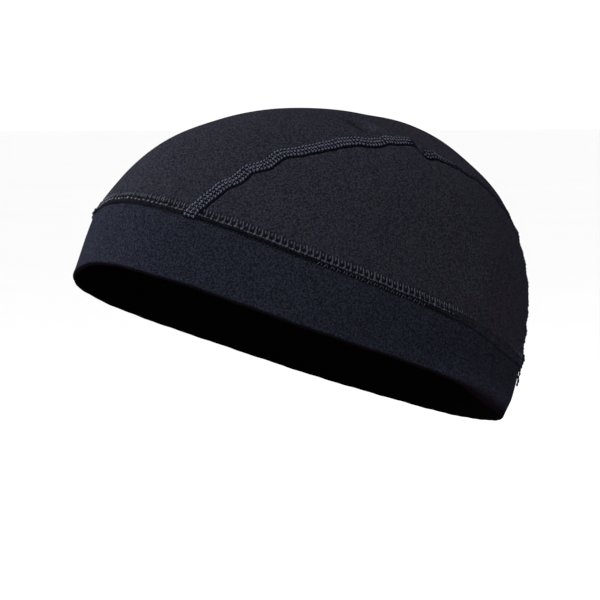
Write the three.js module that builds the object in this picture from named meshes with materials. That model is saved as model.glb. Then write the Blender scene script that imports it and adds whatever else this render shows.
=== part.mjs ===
// A helmet liner cap: a thin stretch skull cap in the form that a head gives it.
// Sizes are in millimetres. The cap is worked out with its rim level, about a centre at rim level
// under the highest point of the crown: -Y is the forehead, +X the wearer's left and +Z up. The
// whole cap is then tilted as it is worn, forehead up.
//
// Places on the cloth are directions from that centre, given in one of two ways. "turn" goes round
// the head from the forehead towards the wearer's left and "rise" goes up from the rim. "arc" goes
// from the forehead over the top to the nape and "lean" goes sideways from the middle.
import * as THREE from "three";

// Outer size of the worn cap, each measured from the centre.
const foreheadReach = 121;
const napeReach = 75;
const sideReach = 82.5;
const crownHeight = 107.5;
// How much fuller than an ellipse the rim is, as a share of its reach.
const cornerFullness = 0.03;
const wornTilt = 20.5;

// Cloth and seams.
const bandHeight = 30;
const bandThickness = 2.4;
const bandSwell = 0.8;
const clothThickness = 1.4;
const centreStripHalfWidth = 45;
const bandSeamWidth = 5.6;
const crownSeamWidth = 5;
const seamProud = 0.8;
// Clear space between two pieces that are sewn together.
const sewingGap = 0.3;
// What is cut off the sharp corners of the side panels, which lie under the seams.
const cornerBlunt = 1;

// Side view of the worn shape: how far the cloth reaches at each rise, in degrees, as shares of a
// plain ellipse through the reaches above.
const profileRows = [
  { rise: 0, front: 1, side: 1, back: 1 },
  { rise: 15, front: 1.03, side: 0.993, back: 1.008 },
  { rise: 30, front: 1.036, side: 0.975, back: 1.034 },
  { rise: 45, front: 1.02, side: 0.99, back: 1.05 },
  { rise: 60, front: 0.994, side: 1.01, back: 1.032 },
  { rise: 75, front: 0.989, side: 0.965, back: 1.018 },
  { rise: 90, front: 1, side: 1, back: 1 },
];

// How far the rim strays from level, and how far the band's foot tucks in under the head, at each
// turn in degrees, both as shares of the band's height. The last column is how much the middle of
// the band swells out there, or draws in, as a share of the band's swell.
const rimRows = [
  { turn: -180, lift: -0.02, tuck: 0.03, swell: 0 },
  { turn: -140, lift: 0.02, tuck: 0.03, swell: 0.3 },
  { turn: -110, lift: 0.01, tuck: 0.02, swell: 1 },
  { turn: -80, lift: -0.01, tuck: 0, swell: 0.8 },
  { turn: -40, lift: -0.09, tuck: 0, swell: -1 },
  { turn: -20, lift: -0.06, tuck: 0, swell: -0.8 },
  { turn: 0, lift: 0.09, tuck: 0, swell: 0 },
  { turn: 20, lift: 0.06, tuck: 0, swell: 0.6 },
  { turn: 50, lift: -0.03, tuck: 0, swell: 1 },
  { turn: 80, lift: 0.02, tuck: 0, swell: 1 },
  { turn: 100, lift: 0.055, tuck: 0.06, swell: 1 },
  { turn: 120, lift: -0.01, tuck: 0.13, swell: 0.6 },
  { turn: 150, lift: -0.03, tuck: 0.05, swell: -1 },
  { turn: 180, lift: -0.02, tuck: 0.03, swell: 0 },
];

// Height of the middle of the band's seam above the rim, the same on both sides, as shares of the
// band's height.
const bandRows = [
  { turn: 0, height: 1 },
  { turn: 30, height: 0.99 },
  { turn: 60, height: 0.955 },
  { turn: 90, height: 0.875 },
  { turn: 120, height: 0.82 },
  { turn: 150, height: 0.85 },
  { turn: 180, height: 0.9 },
];

// Section of the band, from the rim up to its seam: place as a share of the way up, the outward
// swell as a share of the band's swell, and the share of the foot's tuck that is left.
const bandSectionRows = [
  { up: 0, swell: 0, tuck: 1 },
  { up: 0.12, swell: 0.5, tuck: 0.6 },
  { up: 0.3, swell: 0.9, tuck: 0.18 },
  { up: 0.55, swell: 1, tuck: 0 },
  { up: 0.82, swell: 0.7, tuck: 0 },
  { up: 1, swell: 0, tuck: 0 },
];

// Distance of each crown seam from the middle of the head, as shares of the centre strip's half
// width. The left seam is shoved aside in a small fold a little in front of the top.
const crownSeamRows = [
  { arc: 0, left: 0.92, right: 0.92 },
  { arc: 18, left: 0.945, right: 0.945 },
  { arc: 28, left: 1, right: 1 },
  { arc: 40, left: 1.02, right: 1.02 },
  { arc: 53, left: 1.05, right: 1.05 },
  { arc: 66, left: 1.045, right: 1.045 },
  { arc: 76, left: 0.96, right: 1.03 },
  { arc: 80, left: 1.06, right: 1.02 },
  { arc: 88, left: 0.99, right: 1 },
  { arc: 98, left: 0.98, right: 0.98 },
  { arc: 107, left: 0.94, right: 0.94 },
  { arc: 116, left: 0.87, right: 0.87 },
  { arc: 130, left: 0.88, right: 0.88 },
  { arc: 150, left: 0.945, right: 0.945 },
  { arc: 180, left: 1.02, right: 1.02 },
];

// Folds and dents of the crown: where they lie in degrees, which way they run on the cloth
// (0 is sideways, 90 is from front to back), and their size. Rows with a negative depth stand out.
const dentRows = [
  { turn: 39, rise: 57, heading: 10, halfLength: 11, halfWidth: 3.5, depth: 1.1 },
  { turn: 68, rise: 64, heading: 65, halfLength: 7, halfWidth: 3, depth: -1.2 },
  { turn: 72, rise: 56, heading: 60, halfLength: 7, halfWidth: 3.5, depth: 0.9 },
];

// How finely the cloth is divided.
const stepsRoundHead = 80;
const stepsAlongSeam = 54;
const stepsAcrossStrip = 8;
const stepsUpSide = 9;
const bandFoldTurns = [-45, 0, 45];
// How exactly places are searched for, and the small step that a face's slope is measured over.
const halvings = 40;
const slopeStep = 0.002;
// A dent is left out of the cloth this many of its half lengths away.
const dentEnd = 3;

const degree = Math.PI / 180;

// Value of a table's column at a place between its rows, on a smooth curve that is level at both
// ends of the table.
function readRows(rows, placeColumn, column, place) {
  const last = rows.length - 1;
  let row = 0;
  while (row < last - 1 && place > rows[row + 1][placeColumn]) row += 1;
  const slopeAt = (index) =>
    index === 0 || index === last
      ? 0
      : (rows[index + 1][column] - rows[index - 1][column]) /
        (rows[index + 1][placeColumn] - rows[index - 1][placeColumn]);
  const span = rows[row + 1][placeColumn] - rows[row][placeColumn];
  const t = THREE.MathUtils.clamp((place - rows[row][placeColumn]) / span, 0, 1);
  return (
    (1 + 2 * t) * (1 - t) ** 2 * rows[row][column] +
    t * (1 - t) ** 2 * span * slopeAt(row) +
    t * t * (3 - 2 * t) * rows[row + 1][column] +
    t * t * (t - 1) * span * slopeAt(row + 1)
  );
}

// The place between low and high where a rising or falling value crosses zero.
function crossing(value, low, high) {
  const startsAbove = value(low) > 0;
  for (let count = 0; count < halvings; count += 1) {
    const middle = (low + high) / 2;
    if (value(middle) > 0 === startsAbove) low = middle;
    else high = middle;
  }
  return (low + high) / 2;
}

// Direction at a turn and a rise, both in degrees.
function aim(turn, rise) {
  const level = Math.cos(rise * degree);
  return new THREE.Vector3(
    level * Math.sin(turn * degree),
    -level * Math.cos(turn * degree),
    Math.sin(rise * degree),
  );
}

// Direction at an arc and a lean, both in degrees.
function aimOver(arc, lean) {
  const upright = Math.cos(lean * degree);
  return new THREE.Vector3(
    Math.sin(lean * degree),
    -upright * Math.cos(arc * degree),
    upright * Math.sin(arc * degree),
  );
}

function turnOf(direction) {
  return Math.atan2(direction.x, -direction.y) / degree;
}

// Distance from the centre to the smooth outer face, before folds and dents.
function smoothReach(direction) {
  const rise = Math.asin(direction.z) / degree;
  const turn = turnOf(direction) * degree;
  const upShare = direction.z ** 2;
  const levelShare = 1 - upShare;
  const closeness = (levelReach, column) =>
    (levelShare / levelReach ** 2 + upShare / crownHeight ** 2) /
    readRows(profileRows, "rise", column, rise) ** 2;
  const front = closeness(foreheadReach, "front");
  const back = closeness(napeReach, "back");
  const side = closeness(sideReach, "side");
  const lengthwise = (front + back) / 2;
  const fuller = 1 + cornerFullness * Math.sin(2 * turn) ** 2 * levelShare;
  const around =
    (lengthwise + side) / 2 +
    ((front - back) / 2) * Math.cos(turn) +
    ((lengthwise - side) / 2) * Math.cos(2 * turn);
  return fuller / Math.sqrt(around);
}

// The dents with their middles, and the two directions on the cloth that they are measured in.
const dents = dentRows.map((row) => {
  const towards = aim(row.turn, row.rise);
  const sideways = new THREE.Vector3(1, 0, 0).projectOnPlane(towards).normalize();
  const backwards = towards.clone().cross(sideways).normalize();
  const heading = row.heading * degree;
  const along = sideways
    .clone()
    .multiplyScalar(Math.cos(heading))
    .addScaledVector(backwards, Math.sin(heading));
  const across = towards.clone().cross(along).normalize();
  return { ...row, along, across, middle: towards.clone().multiplyScalar(smoothReach(towards)) };
});

function outerPoint(direction) {
  const smooth = direction.clone().multiplyScalar(smoothReach(direction));
  let inward = 0;
  for (const dent of dents) {
    const from = smooth.clone().sub(dent.middle);
    if (from.length() < dentEnd * dent.halfLength) {
      const alongShare = from.dot(dent.along) / dent.halfLength;
      const acrossShare = from.dot(dent.across) / dent.halfWidth;
      inward += dent.depth * Math.exp(-(alongShare ** 2) - acrossShare ** 2);
    }
  }
  return smooth.addScaledVector(direction, -inward);
}

// Point of the cloth in a direction, at a depth below the outer face.
function clothPoint(direction, depth) {
  const isSteep = Math.abs(direction.y) < Math.abs(direction.z);
  const unlike = isSteep ? new THREE.Vector3(0, 1, 0) : new THREE.Vector3(0, 0, 1);
  const sideStep = unlike.cross(direction).normalize();
  const upStep = direction.clone().cross(sideStep);
  const nearby = (step, sign) =>
    outerPoint(direction.clone().addScaledVector(step, sign * slopeStep).normalize());
  const normal = nearby(sideStep, 1)
    .sub(nearby(sideStep, -1))
    .cross(nearby(upStep, 1).sub(nearby(upStep, -1)))
    .normalize();
  return outerPoint(direction).addScaledVector(normal, -depth);
}

// Direction at a turn where the outer face is at a given height above the rim's level.
function aimAtLevel(turn, level) {
  const above = (rise) => smoothReach(aim(turn, rise)) * Math.sin(rise * degree) - level;
  return aim(turn, crossing(above, -20, 80));
}

function rimLevel(turn) {
  return bandHeight * readRows(rimRows, "turn", "lift", turn);
}

function bandSeamLevel(turn) {
  return rimLevel(turn) + bandHeight * readRows(bandRows, "turn", "height", Math.abs(turn));
}

function bandTopLevel(turn) {
  return bandSeamLevel(turn) - bandSeamWidth / 2 - sewingGap;
}

function crownFootLevel(turn) {
  return bandSeamLevel(turn) + bandSeamWidth / 2 + sewingGap;
}

// Lean of a line beside a crown seam. side is 1 for the left seam and -1 for the right one, and
// outward is the distance from the middle of the seam, away from the centre strip.
function besideCrownSeam(side, arc, outward) {
  const column = side > 0 ? "left" : "right";
  const distance = centreStripHalfWidth * readRows(crownSeamRows, "arc", column, arc);
  const beyond = (lean) => smoothReach(aimOver(arc, side * lean)) * Math.sin(lean * degree) - distance;
  const lean = crossing(beyond, 0, 70);
  return side * (lean + outward / smoothReach(aimOver(arc, side * lean)) / degree);
}

// The arc where a line over the crown comes down to the foot of the crown, at the front or back.
function footArc(leanAt, atBack) {
  const above = (arc) => {
    const direction = aimOver(arc, leanAt(arc));
    return smoothReach(direction) * direction.z - crownFootLevel(turnOf(direction));
  };
  return atBack ? crossing(above, 90, 180) : crossing(above, 0, 90);
}

// One closed body from rows of points. Each row is a closed loop round the body's section, and the
// rows are joined in order, back to the first one on a ring and with flat ends otherwise.
function bodyFromLoops(loops, isRing) {
  const count = loops[0].length;
  const positions = loops.flat().flatMap((point) => [point.x, point.y, point.z]);
  const triangles = [];
  const joined = isRing ? loops.length : loops.length - 1;
  for (let row = 0; row < joined; row += 1) {
    const here = row * count;
    const next = ((row + 1) % loops.length) * count;
    for (let place = 0; place < count; place += 1) {
      const after = (place + 1) % count;
      triangles.push(here + place, next + place, next + after);
      triangles.push(here + place, next + after, here + after);
    }
  }
  if (!isRing) {
    const lastLoop = (loops.length - 1) * count;
    for (let place = 0; place < count / 2 - 1; place += 1) {
      const opposite = count - 1 - place;
      triangles.push(place, place + 1, opposite - 1);
      triangles.push(place, opposite - 1, opposite);
      triangles.push(lastLoop + place, lastLoop + opposite, lastLoop + opposite - 1);
      triangles.push(lastLoop + place, lastLoop + opposite - 1, lastLoop + place + 1);
    }
  }
  const geometry = new THREE.BufferGeometry();
  geometry.setAttribute("position", new THREE.Float32BufferAttribute(positions, 3));
  geometry.setIndex(triangles);
  geometry.computeVertexNormals();
  return geometry;
}

// Loop round a cloth panel's section: over the outer face and back under the inner one.
function panelLoop(directions) {
  const outer = directions.map((direction) => clothPoint(direction, 0));
  const inner = directions.map((direction) => clothPoint(direction, clothThickness));
  return [...outer, ...inner.reverse()];
}

function shares(steps) {
  return Array.from({ length: steps + 1 }, (unused, index) => index / steps);
}

function turnsRoundHead() {
  return shares(stepsRoundHead)
    .slice(1)
    .map((share) => 360 * share - 180);
}

function makeBand() {
  const foldRadius = bandThickness / 2;
  const heights = bandSectionRows.slice(2).map((row) => row.up);
  const loopAt = (turn) => {
    const rim = rimLevel(turn);
    const top = bandTopLevel(turn);
    const tuck = bandHeight * readRows(rimRows, "turn", "tuck", turn);
    const fullSwell = bandSwell * readRows(rimRows, "turn", "swell", turn);
    const pointAt = (up, depth) => {
      const level = rim + up * (top - rim);
      const swell = fullSwell * readRows(bandSectionRows, "up", "swell", up);
      const drawnIn = tuck * readRows(bandSectionRows, "up", "tuck", up);
      return clothPoint(aimAtLevel(turn, level), depth + drawnIn - swell);
    };
    const foldTop = foldRadius / (top - rim);
    const fold = bandFoldTurns.map((angle) =>
      pointAt(
        foldTop * (1 - Math.cos(angle * degree)),
        foldRadius * (1 + Math.sin(angle * degree)),
      ),
    );
    const outer = [foldTop, ...heights].map((up) => pointAt(up, 0));
    const inner = [foldTop, ...heights].map((up) => pointAt(up, bandThickness));
    return [...outer.reverse(), ...fold, ...inner];
  };
  return bodyFromLoops(turnsRoundHead().reverse().map(loopAt), true);
}

// Section of a seam: place across it, from its lower or outer edge, and how proud it stands, as
// shares of its half width and of its height above the cloth.
const seamSectionRows = [
  { across: -1, proud: 0 },
  { across: -0.7, proud: 0.9 },
  { across: 0.7, proud: 0.9 },
  { across: 1, proud: 0 },
];

// Loop round a seam's section, from a direction for each row of the section.
function seamLoop(directions) {
  const top = directions.map((direction, index) =>
    clothPoint(direction, -seamSectionRows[index].proud * seamProud),
  );
  const under = directions.map((direction) => clothPoint(direction, clothThickness));
  return [...top, ...under.reverse()];
}

function makeBandSeam() {
  const loops = turnsRoundHead().map((turn) =>
    seamLoop(
      seamSectionRows.map((row) =>
        aimAtLevel(turn, bandSeamLevel(turn) + (row.across * bandSeamWidth) / 2),
      ),
    ),
  );
  return bodyFromLoops(loops, true);
}

// A line over the crown from foot to foot, with its lean at each arc.
function crownLine(leanAt) {
  return { leanAt, front: footArc(leanAt, false), back: footArc(leanAt, true) };
}

function aimAlong(line, share) {
  const arc = THREE.MathUtils.lerp(line.front, line.back, share);
  return aimOver(arc, line.leanAt(arc));
}

function makeCrownSeam(side) {
  const lines = seamSectionRows.map((row) =>
    crownLine((arc) => besideCrownSeam(side, arc, (-side * row.across * crownSeamWidth) / 2)),
  );
  const loops = shares(stepsAlongSeam).map((share) => seamLoop(lines.map((line) => aimAlong(line, share))));
  return bodyFromLoops(loops, false);
}

function makeCentreStrip() {
  const inset = -(crownSeamWidth / 2 + sewingGap);
  const lines = shares(stepsAcrossStrip).map((across) =>
    crownLine((arc) =>
      THREE.MathUtils.lerp(besideCrownSeam(1, arc, inset), besideCrownSeam(-1, arc, inset), across),
    ),
  );
  const loops = shares(stepsAlongSeam).map((share) => panelLoop(lines.map((line) => aimAlong(line, share))));
  return bodyFromLoops(loops, false);
}

function makeSidePanel(side) {
  const outset = crownSeamWidth / 2 + sewingGap;
  const edge = crownLine((arc) => besideCrownSeam(side, arc, outset));
  const blunt = cornerBlunt / sideReach / degree;
  const frontTurn = turnOf(aimAlong(edge, 0)) + side * blunt;
  const backTurn = turnOf(aimAlong(edge, 1)) - side * blunt;
  edge.front += blunt;
  edge.back -= blunt;
  const loops = shares(stepsAlongSeam).map((share) => {
    const top = aimAlong(edge, share);
    const turn = THREE.MathUtils.lerp(frontTurn, backTurn, share);
    const foot = aimAtLevel(turn, crownFootLevel(turn));
    const directions = shares(stepsUpSide).map((up) => foot.clone().lerp(top, up).normalize());
    return panelLoop(side > 0 ? directions : directions.reverse());
  });
  return bodyFromLoops(loops, false);
}

const cloth = new THREE.MeshStandardMaterial({ color: 0x17181f, roughness: 0.92, metalness: 0 });
const bandCloth = new THREE.MeshStandardMaterial({ color: 0x1b1d26, roughness: 0.9, metalness: 0 });
const thread = new THREE.MeshStandardMaterial({ color: 0x2a2c34, roughness: 0.8, metalness: 0 });

function addPiece(group, name, geometry, material) {
  const mesh = new THREE.Mesh(geometry, material);
  mesh.name = name;
  group.add(mesh);
}

const wornCap = new THREE.Group();
wornCap.rotation.x = -wornTilt * degree;
addPiece(wornCap, "band", makeBand(), bandCloth);
addPiece(wornCap, "crown_centre", makeCentreStrip(), cloth);
addPiece(wornCap, "crown_left", makeSidePanel(1), cloth);
addPiece(wornCap, "crown_right", makeSidePanel(-1), cloth);
addPiece(wornCap, "seam_band", makeBandSeam(), thread);
addPiece(wornCap, "seam_left", makeCrownSeam(1), thread);
addPiece(wornCap, "seam_right", makeCrownSeam(-1), thread);

const helmetLinerCap = new THREE.Group();
helmetLinerCap.add(wornCap);

export default helmetLinerCap;
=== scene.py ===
import math

import bpy
import numpy as np
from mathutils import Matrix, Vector


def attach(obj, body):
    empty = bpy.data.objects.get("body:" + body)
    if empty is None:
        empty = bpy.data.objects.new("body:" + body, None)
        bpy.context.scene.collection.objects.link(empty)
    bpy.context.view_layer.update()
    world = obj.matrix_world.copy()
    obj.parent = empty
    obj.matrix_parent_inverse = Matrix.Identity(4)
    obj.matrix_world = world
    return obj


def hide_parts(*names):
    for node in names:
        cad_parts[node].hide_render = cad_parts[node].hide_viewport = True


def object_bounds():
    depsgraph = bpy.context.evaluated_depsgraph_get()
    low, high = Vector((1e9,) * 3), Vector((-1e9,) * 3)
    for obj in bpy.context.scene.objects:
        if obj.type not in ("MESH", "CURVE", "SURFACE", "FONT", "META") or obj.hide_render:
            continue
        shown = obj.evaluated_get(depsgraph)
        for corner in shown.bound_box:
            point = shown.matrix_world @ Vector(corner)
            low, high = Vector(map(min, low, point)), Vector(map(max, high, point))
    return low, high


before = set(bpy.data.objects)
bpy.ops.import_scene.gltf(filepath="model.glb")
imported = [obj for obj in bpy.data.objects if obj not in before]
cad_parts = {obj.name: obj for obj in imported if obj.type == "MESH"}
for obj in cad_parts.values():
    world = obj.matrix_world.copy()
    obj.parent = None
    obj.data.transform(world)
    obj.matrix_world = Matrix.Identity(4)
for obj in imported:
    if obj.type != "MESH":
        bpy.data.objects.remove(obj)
cad_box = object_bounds()

# The cap's shape is worked out as in its solids: in millimetres and degrees, with the rim level,
# about a centre at rim level under the highest point of the crown. -Y is the forehead, +X the
# wearer's left and +Z up. It is then tilted as it is worn.
#
# A place on the cloth is a direction from that centre. "turn" goes round the head from the
# forehead towards the wearer's left and "rise" goes up from the rim. "arc" goes from the forehead
# over the top to the nape and "lean" goes sideways from the middle.

MILLIMETRE = 0.001
LEFT, RIGHT = 1, -1

FOREHEAD_REACH = 121.0
NAPE_REACH = 75.0
SIDE_REACH = 82.5
CROWN_HEIGHT = 107.5
CORNER_FULLNESS = 0.03
WORN_TILT = 20.5

BAND_HEIGHT = 30.0
BAND_THICKNESS = 2.4
BAND_SWELL = 0.8
CLOTH_THICKNESS = 1.4
# How far the seams reach over the cloth: the crown seams towards the centre strip and away from
# it, the band's seam up and down.
CROWN_SEAM_INWARD = 3.6
CROWN_SEAM_OUTWARD = 2.3
BAND_SEAM_UPWARD = 1.3
BAND_SEAM_DOWNWARD = 2.4

# Shares of a plain ellipse that the cloth reaches at each rise.
FRONT_ROWS = [(0, 1), (15, 1.03), (30, 1.036), (45, 1.02), (60, 0.994), (75, 0.989), (90, 1)]
SIDE_ROWS = [(0, 1), (15, 0.993), (30, 0.975), (45, 0.99), (60, 1.01), (75, 0.965), (90, 1)]
BACK_ROWS = [(0, 1), (15, 1.008), (30, 1.034), (45, 1.05), (60, 1.032), (75, 1.018), (90, 1)]

# The rim at each turn: how far it strays from level and how far the band's foot tucks in under
# the head, as shares of the band's height, and the band's outward swell as a share of its swell.
LIFT_ROWS = [
    (-180, -0.02), (-140, 0.02), (-110, 0.01), (-80, -0.01), (-40, -0.09), (-20, -0.06),
    (0, 0.09), (20, 0.06), (50, -0.03), (80, 0.02), (100, 0.055), (120, -0.01), (150, -0.03),
    (180, -0.02),
]
TUCK_ROWS = [
    (-180, 0.03), (-140, 0.03), (-110, 0.02), (-80, 0), (-40, 0), (-20, 0), (0, 0), (20, 0),
    (50, 0), (80, 0), (100, 0.06), (120, 0.13), (150, 0.05), (180, 0.03),
]
SWELL_ROWS = [
    (-180, 0), (-140, 0.3), (-110, 1), (-80, 0.8), (-40, -1), (-20, -0.8), (0, 0), (20, 0.6),
    (50, 1), (80, 1), (100, 1), (120, 0.6), (150, -1), (180, 0),
]
# Height of the middle of the band's seam above the rim, as shares of the band's height.
BAND_ROWS = [(0, 1), (30, 0.99), (60, 0.955), (90, 0.875), (120, 0.82), (150, 0.85), (180, 0.9)]
# Section of the band from the rim up: its outward swell, and the share of the tuck that is left.
SECTION_SWELL_ROWS = [(0, 0), (0.12, 0.5), (0.3, 0.9), (0.55, 1), (0.82, 0.7), (1, 0)]
SECTION_TUCK_ROWS = [(0, 1), (0.12, 0.62), (0.24, 0.24), (0.34, 0.04), (0.5, 0), (1, 0)]

# Distance of each crown seam's middle from the middle of the head, in millimetres at each arc.
# The left one wanders with the puckers of its stitches and is shoved aside in front of the top.
LEFT_SEAM_ROWS = [
    (0, 41.4), (15, 41.8), (18, 42.6), (20, 42.9), (23, 43.7), (25, 44), (27, 45.4), (28.5, 45.4),
    (31, 44.8), (32.5, 45.6), (35, 46.7), (37, 46.3), (40, 45.5), (43, 46.4), (46, 47.3), (54, 47.2),
    (59, 46.4), (62, 47.3), (65, 47.2), (69, 45.5), (73, 44.2), (76.5, 42.6), (78, 43.6), (79, 46.4),
    (80.3, 47.9), (84, 46), (87, 44.8), (90, 44.4), (98, 44.2), (102, 43.2), (107, 42.2), (111, 40.4),
    (115, 39.2), (120, 39), (130, 39.6), (140, 40.8), (150, 42.4), (160, 44.2), (180, 46),
]
RIGHT_SEAM_ROWS = [
    (0, 41.4), (18, 42.6), (24, 43.8), (28, 45.1), (33, 44.7), (40, 46), (46, 47.4), (53, 46.9),
    (58, 46.5), (66, 47.2), (72, 46.2), (80, 46), (88, 44.9), (94, 44.6), (98, 44), (107, 42.3),
    (116, 39.2), (130, 39.6), (150, 42.5), (180, 45.9),
]
# At each arc, how much of the left seam is covered by a fold of the centre strip, and how far the
# fold has risen.
COVER_ROWS = [(0, 0), (77, 0), (77.9, 1), (79.2, 1), (80.1, 0), (180, 0)]
COVER_RISE_ROWS = [(0, 0), (74, 0), (77.6, 1), (79.3, 1), (83, 0), (180, 0)]

# Folds and dents of the crown: turn, rise, heading on the cloth (0 sideways, 90 lengthwise), half
# length, half width and depth in millimetres. A negative depth stands out.
DENTS = [
    (38.5, 60, 13, 8, 3.2, 2.2),
    (43, 56, 5, 6, 1.6, 0.45),
    (68, 64, 65, 7, 3, -1.2),
    (72, 56, 60, 7, 3.5, 0.9),
]

# The step to each side that gives a slope, how often a range is halved to find a crossing, and the
# ranges of rise and lean that are searched.
SLOPE_STEP = 0.002
HALVINGS = 36
RISE_LIMITS = (-20.0, 80.0)
LEAN_LIMIT = 70.0

random = np.random.default_rng(27)


def read_rows(rows, places):
    """Value at each place on a smooth curve through a table's rows, level at both ends."""
    at, values = np.array(rows, float).T
    slopes = np.zeros(len(at))
    slopes[1:-1] = (values[2:] - values[:-2]) / (at[2:] - at[:-2])
    row = np.clip(np.searchsorted(at, places) - 1, 0, len(at) - 2)
    span = at[row + 1] - at[row]
    past = np.clip((places - at[row]) / span, 0, 1)
    return (
        (1 + 2 * past) * (1 - past) ** 2 * values[row]
        + past * (1 - past) ** 2 * span * slopes[row]
        + past * past * (3 - 2 * past) * values[row + 1]
        + past * past * (past - 1) * span * slopes[row + 1]
    )


def crossing(value, low, high):
    """The places between low and high where a rising or falling value crosses zero."""
    low, high = np.array(low, float), np.array(high, float)
    starts_above = value(low) > 0
    for _ in range(HALVINGS):
        middle = (low + high) / 2
        beyond = (value(middle) > 0) == starts_above
        low = np.where(beyond, middle, low)
        high = np.where(beyond, high, middle)
    return (low + high) / 2


def unit(vectors):
    return vectors / np.linalg.norm(vectors, axis=-1, keepdims=True)


def aim(turn, rise):
    turn, rise = np.radians(turn), np.radians(rise)
    level = np.cos(rise)
    return np.stack([level * np.sin(turn), -level * np.cos(turn), np.sin(rise) + 0 * turn], -1)


def aim_over(arc, lean):
    arc, lean = np.radians(arc), np.radians(lean)
    upright = np.cos(lean)
    return np.stack([np.sin(lean) + 0 * arc, -upright * np.cos(arc), upright * np.sin(arc)], -1)


def turn_of(directions):
    return np.degrees(np.arctan2(directions[..., 0], -directions[..., 1]))


def smooth_reach(directions):
    """Distance from the centre to the smooth outer face, before folds and dents."""
    rise = np.degrees(np.arcsin(np.clip(directions[..., 2], -1, 1)))
    turn = np.radians(turn_of(directions))
    up_share = directions[..., 2] ** 2
    level_share = 1 - up_share

    def closeness(level_reach, rows):
        flat = level_share / level_reach**2 + up_share / CROWN_HEIGHT**2
        return flat / read_rows(rows, rise) ** 2

    front = closeness(FOREHEAD_REACH, FRONT_ROWS)
    back = closeness(NAPE_REACH, BACK_ROWS)
    side = closeness(SIDE_REACH, SIDE_ROWS)
    lengthwise = (front + back) / 2
    fuller = 1 + CORNER_FULLNESS * np.sin(2 * turn) ** 2 * level_share
    around = (
        (lengthwise + side) / 2
        + (front - back) / 2 * np.cos(turn)
        + (lengthwise - side) / 2 * np.cos(2 * turn)
    )
    return fuller / np.sqrt(around)


def dent_frame(turn, rise, heading):
    """Middle of a dent, and the two directions on the cloth that it is measured in."""
    towards = aim(turn, rise)
    sideways = unit(np.array([1.0, 0, 0]) - towards[0] * towards)
    backwards = unit(np.cross(towards, sideways))
    heading = math.radians(heading)
    along = math.cos(heading) * sideways + math.sin(heading) * backwards
    return towards * smooth_reach(towards), along, unit(np.cross(towards, along))


def outer_point(directions):
    smooth = directions * smooth_reach(directions)[..., None]
    inward = np.zeros(directions.shape[:-1])
    for turn, rise, heading, half_length, half_width, depth in DENTS:
        middle, along, across = dent_frame(turn, rise, heading)
        offset = smooth - middle
        along_share = offset @ along / half_length
        across_share = offset @ across / half_width
        inward += depth * np.exp(-(along_share**2) - across_share**2)
    return smooth - directions * inward[..., None]


def cloth_normal(directions):
    steep = np.abs(directions[..., 1]) < np.abs(directions[..., 2])
    unlike = np.where(steep[..., None], [0.0, 1.0, 0.0], [0.0, 0.0, 1.0])
    side_step = unit(np.cross(unlike, directions))
    up_step = np.cross(directions, side_step)

    def nearby(step, sign):
        return outer_point(unit(directions + sign * SLOPE_STEP * step))

    across = nearby(side_step, 1) - nearby(side_step, -1)
    upward = nearby(up_step, 1) - nearby(up_step, -1)
    return unit(np.cross(across, upward))


def aim_at_level(turn, level):
    """Directions at a turn where the outer face is at a height above the rim's level."""
    turn, level = np.broadcast_arrays(np.asarray(turn, float), np.asarray(level, float))

    def above(rise):
        return smooth_reach(aim(turn, rise)) * np.sin(np.radians(rise)) - level

    low, high = (np.full(turn.shape, limit) for limit in RISE_LIMITS)
    return aim(turn, crossing(above, low, high))


def rim_level(turn):
    return BAND_HEIGHT * read_rows(LIFT_ROWS, turn)


def band_seam_level(turn):
    return rim_level(turn) + BAND_HEIGHT * read_rows(BAND_ROWS, np.abs(turn))


def seam_lean(side, arc, outward):
    """Lean of a line beside a crown seam, so many millimetres outward from the seam's middle."""
    distance = read_rows(LEFT_SEAM_ROWS if side == LEFT else RIGHT_SEAM_ROWS, arc)

    def beyond(lean):
        return smooth_reach(aim_over(arc, side * lean)) * np.sin(np.radians(lean)) - distance

    lean = crossing(beyond, np.zeros(np.shape(arc)), np.full(np.shape(arc), LEAN_LIMIT))
    return side * (lean + np.degrees(outward / smooth_reach(aim_over(arc, side * lean))))


def foot_arcs(lean_at, above_seam, at_back, count):
    """Arcs where lines over the crown come down to a height above the band seam's middle."""

    def above(arc):
        directions = aim_over(arc, lean_at(arc))
        level = smooth_reach(directions) * directions[..., 2]
        return level - band_seam_level(turn_of(directions)) - above_seam

    low, high = (90.0, 180.0) if at_back else (0.0, 90.0)
    return crossing(above, np.full(count, low), np.full(count, high))


def tilted(points):
    """Points or directions with the rim level, tilted as the cap is worn."""
    tilt = math.radians(-WORN_TILT)
    turned = np.array(
        [[1, 0, 0], [0, math.cos(tilt), -math.sin(tilt)], [0, math.sin(tilt), math.cos(tilt)]]
    )
    return points @ turned.T


def worn(points):
    """Points in millimetres with the rim level, put where the worn cap is, in metres."""
    return tilted(points) * MILLIMETRE


# Waves of the cloth

# Waves along the seams: lengths and heights, the share by which they grow and shrink over so many
# of their own lengths, and how far beside the seam they fade out.
PUCKER_LENGTHS = [13.0, 8.3, 5.1]
PUCKER_HEIGHTS = [0.26, 0.17, 0.08]
PUCKER_CHANGE = 0.35
PUCKER_CHANGE_SPAN = 4.3
PUCKER_FADE = 5.5
# How stitches pull the cloth beside them down: depth, reach, and steepness of the dip's far side.
CROWN_SEAM_PULL = (0.6, 0.38, 2)
BAND_PULL = (0.6, 0.75, 2)
LADDER_PULL = (0.5, 1.8, 4)
BROAD_WAVES = 14
BROAD_LENGTHS = (22.0, 60.0)
BROAD_HEIGHT = 0.09
# Mean reach of the crown's cloth from the centre, over the top.
CROWN_REACH = 102.5


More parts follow.
